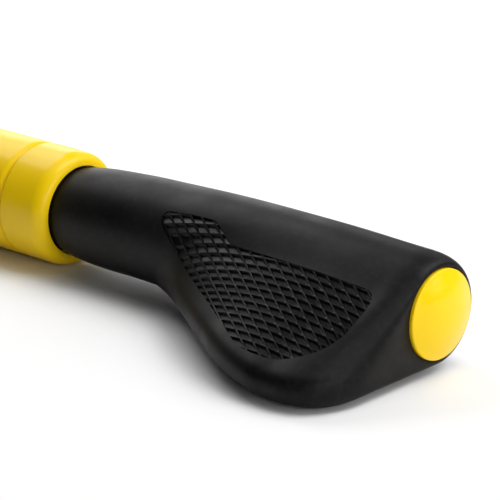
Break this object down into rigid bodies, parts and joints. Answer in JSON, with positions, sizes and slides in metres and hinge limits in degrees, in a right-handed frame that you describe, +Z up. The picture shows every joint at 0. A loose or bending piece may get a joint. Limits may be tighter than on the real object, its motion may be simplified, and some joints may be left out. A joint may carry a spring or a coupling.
{
  "type": "slide-hammer bead breaker",
  "caption": "Hand bead breaker: winged rubber grip and yellow collar on a steel shaft, a sliding impact weight, an anvil, and a tilting curved spade held by a clamp knob.",
  "frame": {"origin": "middle of the tool's footprint, on the surface that it lies on", "axes": "+X along the shaft towards the grip's end cap, +Z up, the grip's wing on the -Y side"},
  "size_m": [0.6152, 0.095, 0.034],
  "materials": {
    "black_rubber": "matt moulded rubber",
    "textured_rubber": "matt rubber moulded with crossing ribs",
    "black_plastic": "fine grained nylon",
    "yellow_paint": "satin powder coat",
    "yellow_plastic": "semi-gloss moulded plastic",
    "chrome": "hard chrome plated bar",
    "zinc_steel": "bright zinc plated",
    "dark_steel": "black oxide on machined steel",
    "blade_steel": "forged steel with a ground edge",
    "bronze": "turned bronze"
  },
  "bodies": {
    "handle": {"grip_sleeve": "black_rubber", "grip_texture_pad": "textured_rubber", "grip_core": "black_plastic", "end_cap": "yellow_plastic", "shaft_end_washer": "zinc_steel", "shaft_end_nut": "zinc_steel", "guard_collar": "yellow_paint", "collar_set_screw": "dark_steel", "return_washer": "black_rubber", "shaft": "chrome", "anvil_collar": "dark_steel", "anvil_pin": "zinc_steel", "shaft_lock_nut": "zinc_steel", "head_clevis": "dark_steel", "friction_disc_knob_side": "black_plastic", "friction_disc_bolt_side": "black_plastic", "pivot_washer_knob_side": "zinc_steel", "pivot_washer_bolt_side": "zinc_steel", "pivot_bolt": "zinc_steel"},
    "hammer": {"slide_weight": "yellow_paint", "weight_bush_front": "bronze", "weight_bush_rear": "bronze", "wiper_ring_front": "black_rubber", "wiper_ring_rear": "black_rubber"},
    "spade": {"blade": "blade_steel", "rim_guard": "black_plastic", "rim_guard_screw_knob_side": "zinc_steel", "rim_guard_screw_bolt_side": "zinc_steel"},
    "knob": {"clamp_knob": "yellow_plastic", "knob_insert": "bronze"}
  },
  "joints": [
    {"name": "weight_slide", "type": "slide", "parent": "handle", "child": "hammer", "axis": [-1, 0, 0], "range_m": [0, 0.13]},
    {"name": "blade_tilt", "type": "hinge", "parent": "handle", "child": "spade", "pos_m": [-0.21165, 0.0015, 0.017], "axis": [0, 1, 0], "range_deg": [0, 45]},
    {"name": "clamp_knob_turn", "type": "hinge", "parent": "handle", "child": "knob", "pos_m": [-0.21165, -0.0285, 0.017], "axis": [0, -1, 0], "range_deg": [0, 300]}
  ]
}
